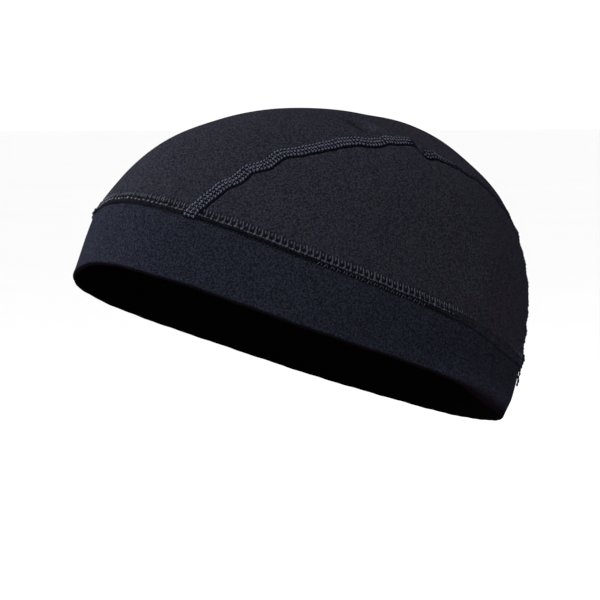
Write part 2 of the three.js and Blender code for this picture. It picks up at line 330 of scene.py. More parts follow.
def make_puckers():
    """A wave along a seam, in millimetres, where its stitches gather the cloth."""
    starts = random.uniform(0, 2 * math.pi, (2, len(PUCKER_LENGTHS)))

    def height(run):
        total = np.zeros(np.shape(run))
        for length, high, start, slow in zip(PUCKER_LENGTHS, PUCKER_HEIGHTS, *starts):
            slow_turns = run / (PUCKER_CHANGE_SPAN * length)
            swell = 1 - PUCKER_CHANGE + PUCKER_CHANGE * np.sin(slow_turns * 2 * math.pi + slow)
            total = total + high * swell * np.sin(run / length * 2 * math.pi + start)
        return total

    return height


puckers = {name: make_puckers() for name in ("left", "right", "band")}

wave_directions = unit(random.normal(size=(BROAD_WAVES, 3)))
wave_lengths = random.uniform(*BROAD_LENGTHS, BROAD_WAVES)
wave_starts = random.uniform(0, 2 * math.pi, BROAD_WAVES)


def broad_waves(points):
    """Slow unevenness of worn cloth, in millimetres."""
    total = np.zeros(points.shape[:-1])
    for direction, length, start in zip(wave_directions, wave_lengths, wave_starts):
        total += BROAD_HEIGHT * np.sin(points @ direction / length * 2 * math.pi + start)
    return total


def gathered(name, place, beyond):
    """How far stitches gather cloth outwards, at a seam's arc or turn and so far beside it."""
    run = np.radians(place) * (SIDE_REACH if name == "band" else CROWN_REACH)
    return puckers[name](run) * np.exp(-beyond / PUCKER_FADE)


def beside_seam(name, place, distance, pull):
    """How far cloth stands out beside a seam: gathered, and pulled down at the stitches."""
    beyond = np.maximum(distance, 0)
    depth, reach, steepness = pull
    return gathered(name, place, beyond) - depth * np.exp(-((beyond / reach) ** steepness))


# Meshes

CLOTH_MAP = "cloth"
# How much closer together points are near the edges of cloth.
EDGE_CLOSENESS = 0.7


def add_object(name, data):
    added = bpy.data.objects.new(name, data)
    bpy.context.scene.collection.objects.link(added)
    return added


def make_mesh(name, points, faces, materials, face_slots, cloth_places=None):
    """A smooth object from points in metres. cloth_places are millimetres on the flat cloth."""
    mesh = bpy.data.meshes.new(name)
    mesh.from_pydata(points.tolist(), [], faces if isinstance(faces, list) else faces.tolist())
    for material in materials:
        mesh.materials.append(material)
    mesh.polygons.foreach_set("material_index", face_slots.astype(np.int32))
    if cloth_places is not None:
        corner_points = np.empty(len(mesh.loops), np.int32)
        mesh.loops.foreach_get("vertex_index", corner_points)
        layer = mesh.uv_layers.new(name=CLOTH_MAP)
        layer.uv.foreach_set("vector", cloth_places[corner_points].astype(np.float32).ravel())
    mesh.shade_smooth()
    mesh.update()
    return add_object(name, mesh)


def grid_faces(rows, columns, first=0, is_ring=False):
    """Faces of a grid of points, row by row. In a ring the last row joins the first."""
    here = np.arange(rows if is_ring else rows - 1)[:, None] * columns + np.arange(columns - 1)
    after = (here + columns) % (rows * columns)
    return first + np.stack([here, here + 1, after + 1, after], -1).reshape(-1, 4)


def closed_cloth(name, outer, inner, cloth_places, materials):
    """A closed sheet between two grids of points, with the inner face in the second material."""
    rows, columns = outer.shape[:2]
    total = rows * columns
    border = np.concatenate([
        np.arange(columns),
        np.arange(1, rows) * columns + columns - 1,
        (rows - 1) * columns + np.arange(columns - 2, -1, -1),
        np.arange(rows - 2, 0, -1) * columns,
    ])
    after = np.roll(border, -1)
    wall = np.stack([border, border + total, after + total, after], -1)
    top = grid_faces(rows, columns)
    under = grid_faces(rows, columns, total)[:, ::-1]
    faces = np.concatenate([top, under, wall])
    face_slots = np.concatenate([np.zeros(len(top)), np.ones(len(under)), np.zeros(len(wall))])
    points = worn(np.concatenate([outer.reshape(-1, 3), inner.reshape(-1, 3)]))
    places = np.concatenate([cloth_places.reshape(-1, 2)] * 2)
    return make_mesh(name, points, faces, materials, face_slots, places)


def eased(count):
    """Shares from 0 to 1, set closer together at both ends."""
    plain = np.linspace(0, 1, count)
    return (1 - EDGE_CLOSENESS) * plain + EDGE_CLOSENESS * (1 - np.cos(math.pi * plain)) / 2


# Cloth panels

# How far the cloth reaches under the seams' ridges, how high above the middle of the band's seam
# the panels end, and how far outward from the middle of a crown seam.
UNDER_SEAM = 0.5
FOOT_ABOVE_SEAM = BAND_SEAM_UPWARD - UNDER_SEAM
CENTRE_EDGE = UNDER_SEAM - CROWN_SEAM_INWARD
SIDE_EDGE = CROWN_SEAM_OUTWARD - UNDER_SEAM
# Degrees of arc by which the side panels stop short of the corners between the seams.
CORNER_TRIM = 0.3
# Rows and columns of points.
CENTRE_GRID = (300, 88)
SIDE_GRID = (300, 84)
# How far past the left seam's middle the fold over it reaches, its height over the cloth, how far
# it fades out, and how its edge rolls down.
COVER_REACH = 1.4
COVER_HEIGHT = 0.75
COVER_FADE = 4.5
COVER_ROLL = 0.6
COVER_DROP = 0.45


def side_name(side):
    return "left" if side == LEFT else "right"


def panel_faces(directions, relief):
    """Outer and inner points of a panel from its directions and how far it stands out there."""
    smooth = outer_point(directions)
    normals = cloth_normal(directions)
    waves = broad_waves(smooth)
    outer = smooth + normals * (relief + waves)[..., None]
    return outer, outer - normals * CLOTH_THICKNESS


def cover_outward(arc):
    """Where the centre strip's left edge lies from the seam's middle, towards the outside."""
    return CENTRE_EDGE + read_rows(COVER_ROWS, arc) * (COVER_REACH - CENTRE_EDGE)


def cover_relief(arc, left_edge, cover_edge):
    """How far the fold over the left seam stands out, with its edge rolled down."""
    fade = np.exp(-((np.maximum(left_edge, 0) / COVER_FADE) ** 2))
    roll = np.exp(-((cover_edge / COVER_ROLL) ** 2))
    risen = read_rows(COVER_RISE_ROWS, arc) * fade * COVER_HEIGHT
    return risen - read_rows(COVER_ROWS, arc) * roll * COVER_DROP


def make_crown_centre(materials):
    rows, columns = CENTRE_GRID
    across = eased(columns)

    def lean_at(arc):
        left = seam_lean(LEFT, arc, cover_outward(arc))
        right = seam_lean(RIGHT, arc, CENTRE_EDGE)
        return left + (right - left) * across

    front = foot_arcs(lean_at, FOOT_ABOVE_SEAM, False, columns)
    back = foot_arcs(lean_at, FOOT_ABOVE_SEAM, True, columns)
    arc = front + (back - front) * eased(rows)[:, None]
    lean = lean_at(arc)
    directions = aim_over(arc, lean)
    reach = smooth_reach(directions)
    cover_edge = np.radians(seam_lean(LEFT, arc, cover_outward(arc)) - lean) * reach
    left_edge = np.radians(seam_lean(LEFT, arc, -CROWN_SEAM_INWARD) - lean) * reach
    right_edge = np.radians(lean - seam_lean(RIGHT, arc, -CROWN_SEAM_INWARD)) * reach
    foot_edge = np.radians(np.minimum(arc - front, back - arc)) * reach - UNDER_SEAM
    uncovered = 1 - read_rows(COVER_ROWS, arc)
    relief = uncovered * beside_seam("left", arc, left_edge, CROWN_SEAM_PULL)
    relief += cover_relief(arc, left_edge, cover_edge)
    relief += beside_seam("right", arc, right_edge, CROWN_SEAM_PULL)
    relief += beside_seam("band", turn_of(directions), foot_edge, LADDER_PULL)
    outer, inner = panel_faces(directions, relief)
    places = np.stack([np.radians(lean) * reach, np.radians(arc) * CROWN_REACH], -1)
    outer, inner, places = outer[:, ::-1], inner[:, ::-1], places[:, ::-1]
    return closed_cloth("crown_centre_cloth", outer, inner, places, materials)


def make_side_panel(side, name, materials):
    rows, columns = SIDE_GRID

    def edge_lean(arc):
        return seam_lean(side, arc, SIDE_EDGE)

    front = foot_arcs(edge_lean, FOOT_ABOVE_SEAM, False, 1) + CORNER_TRIM
    back = foot_arcs(edge_lean, FOOT_ABOVE_SEAM, True, 1) - CORNER_TRIM
    along = eased(rows)[:, None]
    arc = front + (back - front) * along
    top = aim_over(arc, edge_lean(arc))
    turn = turn_of(top[0]) + (turn_of(top[-1]) - turn_of(top[0])) * along
    foot = aim_at_level(turn, band_seam_level(turn) + FOOT_ABOVE_SEAM)
    up = eased(columns)[None, :]
    directions = unit(foot * (1 - up[..., None]) + top * up[..., None])
    length = np.arccos(np.clip((foot * top).sum(-1), -1, 1)) * smooth_reach(directions)
    top_edge = (1 - up) * length - UNDER_SEAM
    foot_edge = up * length - UNDER_SEAM
    relief = beside_seam(side_name(side), arc, top_edge, CROWN_SEAM_PULL)
    relief += beside_seam("band", turn, foot_edge, LADDER_PULL)
    outer, inner = panel_faces(directions, relief)
    order = slice(None, None, side)
    places = outer[:, order, 1:]
    return closed_cloth(name, outer[:, order], inner[:, order], places, materials)


# The band

BAND_TURNS = 620
BAND_OUTER_STEPS = 34
BAND_FOLD_STEPS = 9
BAND_INNER_STEPS = 14
# Waves of the rim: length and height. Each one starts at a random place.
RIM_WAVES = [(9.0, 0.05), (23.0, 0.07)]
RIM_WAVE_LATEST_START = 6
# How many times the depth into the fold counts as height on the flat cloth, so that the rim's painted
# shade goes round the fold.
FOLD_DEPTH_COUNT = 2


def make_band(materials):
    turn = np.linspace(-180, 180, BAND_TURNS, endpoint=False)[:, None]
    rim = rim_level(turn)
    for length, height in RIM_WAVES:
        count = round(2 * math.pi * SIDE_REACH / length)
        wave_start = random.uniform(0, RIM_WAVE_LATEST_START)
        rim = rim + height * np.sin(np.radians(turn) * count + wave_start)
    top = band_seam_level(turn) - BAND_SEAM_DOWNWARD + UNDER_SEAM
    fold_radius = BAND_THICKNESS / 2
    fold_top = fold_radius / BAND_HEIGHT
    outer_up = 1 - (1 - fold_top) * eased(BAND_OUTER_STEPS)
    angle = np.linspace(-90, 90, BAND_FOLD_STEPS + 2)[1:-1]
    fold_up = fold_top * (1 - np.cos(np.radians(angle)))
    inner_up = fold_top + (1 - fold_top) * np.linspace(0, 1, BAND_INNER_STEPS)
    up = np.concatenate([outer_up, fold_up, inner_up])[None, :]
    depth = np.concatenate([
        np.zeros(BAND_OUTER_STEPS),
        fold_radius * (1 + np.sin(np.radians(angle))),
        np.full(BAND_INNER_STEPS, BAND_THICKNESS),
    ])[None, :]
    level = rim + up * (top - rim)
    directions = aim_at_level(np.broadcast_to(turn, level.shape), level)
    tuck = BAND_HEIGHT * read_rows(TUCK_ROWS, turn) * read_rows(SECTION_TUCK_ROWS, up)
    swell = BAND_SWELL * read_rows(SWELL_ROWS, turn) * read_rows(SECTION_SWELL_ROWS, up)
    edge = (1 - up) * (top - rim) - UNDER_SEAM
    smooth = outer_point(directions)
    relief = beside_seam("band", turn, edge, BAND_PULL) + broad_waves(smooth)
    stands_out = swell + relief - tuck - depth
    points = smooth + cloth_normal(directions) * stands_out[..., None]
    rows, columns = points.shape[:2]
    faces = grid_faces(rows, columns, is_ring=True)
    top_wall = np.arange(rows) * columns
    after = np.roll(top_wall, -1)
    wall = np.stack([top_wall, after, after + columns - 1, top_wall + columns - 1], -1)
    faces = np.concatenate([faces[:, ::-1], wall[:, ::-1]])
    # The fold's inner half and the inner face take the lining, painted near black as the shade inside
    # the cap.
    is_inner = np.arange(columns - 1) >= BAND_OUTER_STEPS + BAND_FOLD_STEPS // 2
    face_slots = np.concatenate([np.tile(is_inner, rows), np.zeros(rows)])
    run = np.radians(turn) * (FOREHEAD_REACH + NAPE_REACH) / 2 + 0 * level
    places = np.stack([run, level - rim - depth * FOLD_DEPTH_COUNT], -1).reshape(-1, 2)
    points = worn(points.reshape(-1, 3))
    return make_mesh("band_cloth", points, faces, materials, face_slots, places)


# Seams

CROWN_PITCH = 1.56
BAND_PITCH = 2.76
RIDGE_STEP = 1.1
# Sections of the seams' ridges from the lower or outer edge: place across from the seam's middle
# and height over the cloth. Both edges overhang the cloth beside them.
CROWN_RIDGE = [
    (-1.7, -1.4), (-2.0, -0.75), (-2.05, -0.5), (-1.8, -0.25), (-1.5, 0.1), (-1, 0.22), (0, 0.24),
    (1, 0.26), (2, 0.24), (3.1, 0.2), (3.55, 0), (3.65, -0.25), (3.5, -0.6), (3.4, -1.4),
]
BAND_RIDGE = [
    (-1.9, -1.4), (-2.15, -0.75), (-2.2, -0.5), (-1.95, -0.25), (-1.6, 0.02), (-1, 0.16), (0, 0.16),
    (0.8, 0.06), (1.2, -0.12), (1.3, -0.35), (1.25, -0.7), (1.2, -1.4),
]
# Rows of stitches: place across from the seam's middle, height of the thread's middle, length,
# width and height of a stitch, slant in degrees and shift along as a share of the pitch.
CROWN_STITCHES = [
    (3.05, 0.3, 1.4, 0.84, 0.7, 24, 0),
    (2.05, 0.08, 1.2, 0.46, 0.5, 80, 0.1),
    (1.1, 0.36, 1.4, 0.88, 0.74, 24, 0.1),
    (0.15, 0.08, 1.1, 0.46, 0.5, 80, 0.2),
    (-0.8, 0.18, 1.35, 0.8, 0.6, 38, 0.2),
]
BAND_STITCHES = [
    (1.45, -0.08, 2.9, 0.62, 0.6, 101, 0),
    (1.7, -0.14, 1.5, 0.66, 0.55, 98, 0.5),
    (-0.5, 0.06, 1.5, 1.15, 0.56, 12, 0.06),
    (-0.7, 0.02, 1.1, 0.6, 0.46, -15, 0.56),
    (0.35, -0.06, 1.1, 0.9, 0.5, 84, 0.08),
]
# Needle holes under the band's seam, drawn as dark beads in the painted shade of the cloth under the
# stitches, and its loops that show there on the wearer's left.
HOLE_ROWS = [(-2.75, -0.1, 0.9, 0.6, 0.36, 62, 0.3), (-2.75, -0.1, 0.9, 0.5, 0.34, 55, 0.8)]
LOOP_STITCHES = [(-2.1, -0.1, 2.0, 0.34, 0.4, 68, 0.3), (-2.2, -0.16, 1.5, 0.3, 0.36, 112, 0.75)]
LOOP_TURNS = (49, 80)
# How far the stitches have sunk into the cloth, in millimetres at each arc or turn.
CROWN_SINK_ROWS = [
    (0, 0), (75, 0), (77.6, 0.22), (80, 0.1), (82, 0), (90, 0.3), (110, 0.42), (122, 0.12), (180, 0.12),
]
BAND_SINK_ROWS = [
    (0, 0.09), (10, 0.07), (22, 0), (86, 0.03), (100, 0.5), (112, 0.75), (126, 0.7), (138, 0.12),
    (180, 0.12),
]
# Spread of the stitches' places along and across, of their size as a share, and of their slant.
STITCH_JITTER = (0.07, 0.05, 0.08, 7.0)
# How far past the edge of the fold over the left seam its stitches still show.
SHOWN_PAST_FOLD = 0.3
BEAD_SIDES = 8
BEAD_RINGS = 4
BEAD_BLUNTNESS = 0.7
# How far the crown seams' stitches run over the band's seam, and past it on the left nape.
OVER_BAND_SEAM = BAND_SEAM_DOWNWARD
NAPE_RUN_ON = 9.0
# How high the crown seams ride over the band's seam, how far to each side and how steeply.
RIDE_HEIGHT = 0.75
RIDE_REACH = 2.7
RIDE_STEEPNESS = 4
# Points along a seam's line, and the step in degrees to the place ahead that gives its direction.
SEAM_POINTS = 720
STEP_AHEAD = 0.2
# The loose thread ends on the left nape: how far before the seam's end and how high they start,
# their curl in radians, how bluntly they rise, and each one's length, stray and rise.
TAIL_START = 4.5
TAIL_BASE = 0.1
TAIL_CURL = 3
TAIL_BLUNTNESS = 0.8
TAILS = [(2.2, 0.6, 0.5), (1.8, -0.5, 0.35)]
TAIL_POINTS = 12
THREAD_RADIUS = 0.22
THREAD_SIDES = 7
# A direction that no loose thread runs in.
UNLIKE_THREADS = (0.3, 0.2, 1.0)


def make_bead():
    """Points of a blunt bead one unit long, wide and high, and its faces."""
    points = [[-0.5, 0, 0]]
    for ring in range(1, BEAD_RINGS + 1):
        angle = math.pi * ring / (BEAD_RINGS + 1)
        radius = 0.5 * math.sin(angle) ** BEAD_BLUNTNESS
        for side in range(BEAD_SIDES):
            turn = 2 * math.pi * side / BEAD_SIDES
            points.append([-0.5 * math.cos(angle), radius * math.cos(turn), radius * math.sin(turn)])
    points.append([0.5, 0, 0])
    last = len(points) - 1
    end = last - BEAD_SIDES
    faces = []
    for side in range(BEAD_SIDES):
        after = (side + 1) % BEAD_SIDES
        faces.append([0, 1 + after, 1 + side])
        faces.append([end + side, end + after, last])
        for ring in range(BEAD_RINGS - 1):
            here = 1 + ring * BEAD_SIDES
            above = here + BEAD_SIDES
            faces.append([here + side, here + after, above + after, above + side])
    return np.array(points), faces


BEAD_POINTS, BEAD_FACES = make_bead()


def place_beads(middles, along, normals, sizes, slants):
    """Points of beads laid on the cloth, from each one's length, width, height and slant."""
    across = np.cross(normals, along)
    slant = np.radians(slants)[:, None]
    long_axis = along * np.cos(slant) + across * np.sin(slant)
    wide_axis = np.cross(normals, long_axis)
    axes = np.stack([long_axis, wide_axis, normals], 1) * sizes[:, :, None]
    return middles[:, None, :] + BEAD_POINTS @ axes


class Seam:
    """A seam's line over the cloth, from a place along it (an arc or a turn) and one across it.

    Places across are millimetres from the seam's middle, upwards or towards the centre strip.
    """

    def __init__(self, name, direction_at, first, last, upward, downward):
        self.name = name
        self.upward = upward
        self.downward = downward
        self.direction_at = direction_at
        self.places = np.linspace(first, last, SEAM_POINTS)
        line = outer_point(direction_at(self.places, np.zeros(SEAM_POINTS)))
        steps = np.linalg.norm(np.diff(line, axis=0), axis=1)
        self.runs = np.concatenate([[0], np.cumsum(steps)])
        self.length = self.runs[-1]

    def place_at(self, run):
        return np.interp(run, self.runs, self.places)

    def lay(self, place, across, height):
        """Points at a height over the seam, its running direction and the normals there."""
        place, across, height = np.broadcast_arrays(place, across, height)
        directions = self.direction_at(place, across)
        normals = cloth_normal(directions)
        smooth = outer_point(directions)
        beyond = np.maximum(np.maximum(across - self.upward, -across - self.downward), 0)
        waves = gathered(self.name, place, beyond) + broad_waves(smooth)
        ahead = outer_point(self.direction_at(place + STEP_AHEAD, across))
        stands_out = height + waves + self.lift(smooth, directions)
        return smooth + normals * stands_out[..., None], unit(ahead - smooth), normals

    def lift(self, smooth, directions):
        """What a crown seam rises by where it runs over the band's seam."""
        if self.name == "band":
            return 0
        above = smooth[..., 2] - band_seam_level(turn_of(directions))
        return RIDE_HEIGHT * np.exp(-((above / RIDE_REACH) ** RIDE_STEEPNESS))


def band_seam_direction(turn, across):
    return aim_at_level(turn, band_seam_level(turn) + across)


def nape_run_on(side):
    """How far the stitches run on past the band's seam at the nape."""
    return NAPE_RUN_ON if side == LEFT else 0


def crown_seam_line(side):
    def direction_at(arc, across):
        return aim_over(arc, seam_lean(side, arc, -across))

    def middle_lean(arc):
        return seam_lean(side, arc, 0)

    first = foot_arcs(middle_lean, -OVER_BAND_SEAM, False, 1)[0]
    last = foot_arcs(middle_lean, -OVER_BAND_SEAM - nape_run_on(side), True, 1)[0]
    return Seam(side_name(side), direction_at, first, last, CROWN_SEAM_INWARD, CROWN_SEAM_OUTWARD)


def tube_faces(rows, columns, is_ring):
    """Faces of a tube of closed rows of points. Unless it is a ring its ends are closed."""
    faces = []
    for row in range(rows if is_ring else rows - 1):
        here, above = row * columns, (row + 1) % rows * columns
        for side in range(columns):
            after = (side + 1) % columns
            faces.append([here + side, here + after, above + after, above + side])
    if not is_ring:
        faces.append(list(range(columns))[::-1])
        faces.append(list(range((rows - 1) * columns, rows * columns)))
    return faces


def ridge_mesh(seam, section, length, is_ring):
    """Points and faces of a seam's ridge, one row of points for each step along it."""
    count = int(length / RIDGE_STEP)
    place = seam.place_at(np.linspace(0, length, count, endpoint=not is_ring))[:, None]
    across, heights = np.array(section).T
    points, _, _ = seam.lay(place, across[None, :], heights[None, :])
    faces = tube_faces(*points.shape[:2], is_ring)
    return points.reshape(-1, 3), [face[::-1] for face in faces]


def stitch_mesh(seam, rows, wanted_pitch, sink_rows, shows=None):
    """Points and faces of a seam's stitches, row by row. shows tells which ones are kept."""
    along_jitter, across_jitter, size_jitter, slant_jitter = STITCH_JITTER
    count = round(seam.length / wanted_pitch)
    pitch = seam.length / count
    clouds = []
    for across, height, long, wide, high, slant, shift in rows:
        run = (np.arange(count) + shift) * pitch
        run = run + random.normal(0, along_jitter, count)
        place = seam.place_at(np.clip(run, 0, seam.length))
        aside = across + random.normal(0, across_jitter, count)
        grow = 1 + random.normal(0, size_jitter, (count, 1))
        tilt = slant + random.normal(0, slant_jitter, count)
        middles, along, normals = seam.lay(place, aside, height - read_rows(sink_rows, np.abs(place)))
        sizes = np.array([long, wide, high]) * grow
        beads = place_beads(middles, along, normals, sizes, tilt)
        clouds.append(beads[shows(place, aside)] if shows else beads)
    points = np.concatenate(clouds).reshape(-1, 3)
    starts = range(0, len(points), len(BEAD_POINTS))
    faces = [[start + corner for corner in face] for start in starts for face in BEAD_FACES]
    return points, faces


def thread_tube(path):
    """Points and faces of a round thread along a path."""
    tangents = unit(np.gradient(path, axis=0))
    aside = unit(np.cross(tangents, UNLIKE_THREADS))
    other = np.cross(tangents, aside)
    turns = np.linspace(0, 2 * math.pi, THREAD_SIDES, endpoint=False)[:, None]
    ring = np.cos(turns) * aside[:, None, :] + np.sin(turns) * other[:, None, :]
    points = path[:, None, :] + THREAD_RADIUS * ring
    return points.reshape(-1, 3), tube_faces(len(path), THREAD_SIDES, False)


def make_seam(name, parts, materials):
    """A seam made of parts, each with its points, its faces and its place in the materials."""
    points, faces, face_slots = [], [], []
    first = 0
    for part_points, part_faces, material in parts:
        points.append(part_points)
        faces += [[first + corner for corner in face] for face in part_faces]
        face_slots += [material] * len(part_faces)
        first += len(part_points)
    return make_mesh(name, worn(np.concatenate(points)), faces, materials, np.array(face_slots))


def make_band_seam(materials):
    seam = Seam("band", band_seam_direction, -180.0, 180.0, BAND_SEAM_UPWARD, BAND_SEAM_DOWNWARD)
    ridge = ridge_mesh(seam, BAND_RIDGE, seam.length, True)
    stitches = stitch_mesh(seam, BAND_STITCHES, BAND_PITCH, BAND_SINK_ROWS)
    loops = stitch_mesh(seam, LOOP_STITCHES, BAND_PITCH, BAND_SINK_ROWS, loop_shows)
    holes = stitch_mesh(seam, HOLE_ROWS, BAND_PITCH, BAND_SINK_ROWS)
    parts = [(*ridge, 0), (*holes, 0), (*stitches, 1), (*loops, 1)]
    return make_seam("seam_band_stitches", parts, materials)


def loop_shows(turn, aside):
    return (turn > LOOP_TURNS[0]) & (turn < LOOP_TURNS[1])


def left_stitch_shows(arc, aside):
    covered = read_rows(COVER_ROWS, arc) * (CROWN_SEAM_INWARD + CROWN_SEAM_OUTWARD)
    return aside < CROWN_SEAM_INWARD - covered + SHOWN_PAST_FOLD


def nape_tails(seam):
    """Paths of the loose ends of the left seam's threads."""
    start, along, normals = seam.lay(seam.place_at(seam.length - TAIL_START), 0.0, TAIL_BASE)
    across = np.cross(normals, along)
    steps = np.linspace(0, 1, TAIL_POINTS)[:, None]
    paths = []
    for reach, sideways, lift in TAILS:
        path = start + along * reach * steps + across * sideways * np.sin(TAIL_CURL * steps)
        paths.append(path + normals * lift * np.sin(math.pi * steps) ** TAIL_BLUNTNESS)
    return paths


def make_crown_seam(side, name, materials):
    seam = crown_seam_line(side)
    ridge = ridge_mesh(seam, CROWN_RIDGE, seam.length - nape_run_on(side), False)
    shows = left_stitch_shows if side == LEFT else None
    stitches = stitch_mesh(seam, CROWN_STITCHES, CROWN_PITCH, CROWN_SINK_ROWS, shows)
    parts = [(*ridge, 0), (*stitches, 1)]
    if side == LEFT:
        parts += [(*thread_tube(path), 1) for path in nape_tails(seam)]
    return make_seam(name, parts, materials)


# Materials

# Scale, detail and roughness of each noise, over the object's metres.
GRAIN_NOISE = (1250.0, 2.0, 0.7)
PLAIN_NOISE = (1300.0, 2.0, 0.7)
TINT_NOISE = (330.0, 3.0, 0.5)
PATCH_NOISE = (48.0, 3.0, 0.6)
FIBRE_NOISE = (2600.0, 2.0, 0.5)
SPREAD_NOISE = (420.0, 1.0, 0.5)
FLOOR_NOISE = (1.5, 3.0, 0.5)
# Gain and offset that stretch a noise over the shares from 0 to 1.
GRAIN_STRETCH = (4.2, -1.75)
PLAIN_STRETCH = (4.2, -1.6)
PATCH_STRETCH = (4.0, -1.9)
# Roughness and specular level of each surface, and its bump's strength and distance in metres.
CLOTH_SURFACE = (0.95, 0.0, 0.6, 0.0002)
PLAIN_SURFACE = (0.95, 0.0, 0.4, 0.0002)
THREAD_SURFACE = (0.6, 0.04, 0.4, 0.00012)
FLOOR_SURFACE = (0.9, 0.1)

# Width and length of a knitted stitch in millimetres, and by how many times its height the cloth
# falls off for each width from the middle of a rib.
CROWN_KNIT = (0.62, 0.5)
BAND_KNIT = (0.56, 0.46)
RIB_FALL = 1.4
# Shares of the knit's height in the cloth's colour, as painted shade in the knit's hollows, and of the
# grain in its relief.
KNIT_SHADE = 0.3
GRAIN_RELIEF = 0.9
TINT_STRENGTH = 0.26
# What redder patches of cloth multiply its light colour by, and how much redder it grows for each
# metre towards the nape.
REDDER = (1.15, 0.96, 0.97)
REDDER_BACKWARDS = 14.0
FIBRE_SHARE = 0.6
SPREAD_SHARE = 0.4

# Dark and light colours.
CROWN_COLOURS = ((0.003, 0.0031, 0.0047), (0.0097, 0.0102, 0.0136))
BAND_COLOURS = ((0.0021, 0.0024, 0.0039), (0.007, 0.0078, 0.0116))
# Painted shade: the inside of the cap is painted near black.
LINING_SHADE_COLOURS = ((0.0002, 0.0002, 0.0003), (0.0004, 0.0004, 0.0005))
# Colours of the cloth under the stitches, which the shares along the head darken as painted shade.
CROWN_GROUND_COLOURS = ((0.0022, 0.0022, 0.0038), (0.0082, 0.0085, 0.0128))
BAND_GROUND_COLOURS = ((0.002, 0.002, 0.0031), (0.0072, 0.0072, 0.0102))
# The threads' own lighter grey, raised a little as painted highlight in place of their glint.
CROWN_THREAD_COLOURS = ((0.0182, 0.0203, 0.0292), (0.0316, 0.0348, 0.0496))
BAND_THREAD_COLOURS = ((0.0108, 0.0118, 0.0172), (0.019, 0.0209, 0.0298))
FLOOR_COLOURS = ((0.9, 0.9, 0.9), (0.93, 0.93, 0.93))
# Painted shade of the band's fold where it turns under, dark and reddish.
RIM_SHADE_COLOUR = (0.0011, 0.0007, 0.001)
# Painted shade along the head: shares of the colour of the threads and of the cloth under them, at
# places along the head in metres. The cloth under the stitches is darkened most, as painted shade
# between the threads and along the seams' edges.
CROWN_THREAD_SHADE_ROWS = [
    (-0.07, 0.9), (-0.03, 0.82), (0.012, 0.76), (0.02, 0.54), (0.04, 0.34), (0.06, 0.3),
]
BAND_THREAD_SHADE_ROWS = [
    (-0.1, 0.72), (-0.092, 0.76), (-0.08, 0.88), (-0.02, 0.9), (0.01, 0.9), (0.035, 0.68),
]
CROWN_GROUND_SHADE_ROWS = [(-0.1, 0.36), (0.025, 0.36), (0.055, 0.85)]
BAND_GROUND_SHADE_ROWS = [(-0.1, 0.5), (-0.085, 0.4), (-0.006, 0.38), (0.026, 1)]
# Heights above the rim, in millimetres, over which the painted shade of the band's fold, where it turns
# under, gives way to the band's colour. Over the foot of the nape, between two places along the head in
# metres, the painted shade comes to reach higher.
RIM_SHADE_FADE = (0.1, 1.7)
NAPE_FOOT = (0.01, 0.034)
NAPE_SHADE_RISE = 4.2
# Painted shade and light beside the crease above the left seam, as soft dark and light patches: turn,
# rise, heading, half length and half width in millimetres, and the share of the cloth's colour at the
# middle.
SHADED_PATCHES = [(35.5, 59.8, 24, 5.5, 3, 0.55), (44, 62.5, 24, 5, 3.8, 1.35)]


class Look:
    """A new material, and the nodes that shade it. A value is a constant or a node's output."""

    def __init__(self, name):
        self.material = bpy.data.materials.new(name)
        self.material.use_nodes = True
        self.nodes = self.material.node_tree.nodes
        self.shader = next(node for node in self.nodes if node.type == "BSDF_PRINCIPLED")
        self.place = self.nodes.new("ShaderNodeTexCoord").outputs["Object"]

    def fill(self, node, sockets, values):
        """Gives values to a node's sockets, which are named or counted."""
        for socket, value in zip(sockets, values):
            if isinstance(value, bpy.types.NodeSocket):
                self.material.node_tree.links.new(value, node.inputs[socket])
            else:
                node.inputs[socket].default_value = value
        return node.outputs

    def operate(self, kind, operation, values):
        node = self.nodes.new(kind)
        node.operation = operation
        return self.fill(node, range(len(values)), values)

    def math(self, operation, *values):
        return self.operate("ShaderNodeMath", operation, values)[0]

    def vector_math(self, operation, *values):
        return self.operate("ShaderNodeVectorMath", operation, values)[0]

    def clamped(self, value):
        return self.fill(self.nodes.new("ShaderNodeClamp"), [0], [value])[0]

    def share_between(self, value, start, end, interpolation):
        """0 up to a start and 1 from an end."""
        node = self.nodes.new("ShaderNodeMapRange")
        node.interpolation_type = interpolation
        return self.fill(node, ("Value", "From Min", "From Max"), (value, start, end))["Result"]

    def noise(self, settings, output="Fac"):
        node = self.nodes.new("ShaderNodeTexNoise")
        sockets = ("Scale", "Detail", "Roughness", "Vector")
        return self.fill(node, sockets, (*settings, self.place))[output]

    def mix(self, factor, dark, light):
        """A colour between two, each a tuple or another node's output."""
        node = self.nodes.new("ShaderNodeMix")
        node.data_type = "RGBA"
        ends = [(*end, 1) if isinstance(end, tuple) else end for end in (dark, light)]
        return self.fill(node, (0, 6, 7), (factor, *ends))[2]

    def parts_of(self, vector):
        return self.fill(self.nodes.new("ShaderNodeSeparateXYZ"), [0], [vector])

    def lengthwise(self):
        """Place along the head in metres, from the forehead to the nape."""
        return self.parts_of(self.place)[1]

    def cloth_places(self):
        """Places on the flat cloth in millimetres, across and along or up from the rim."""
        flat = self.nodes.new("ShaderNodeUVMap")
        flat.uv_map = CLOTH_MAP
        parts = self.parts_of(flat.outputs["UV"])
        return parts[0], parts[1]

    def finished(self, colour, surface, *height):
        """The material, with its colour and surface. Where a height is given it has a bump."""
        sockets = ("Base Color", "Roughness", "Specular IOR Level")
        self.fill(self.shader, sockets, (colour, *surface))
        if height:
            bump = self.nodes.new("ShaderNodeBump")
            sockets = ("Strength", "Distance", "Height")
            outputs = self.fill(bump, sockets, (*surface[2:], *height))
            self.fill(self.shader, ["Normal"], [outputs["Normal"]])
        return self.material


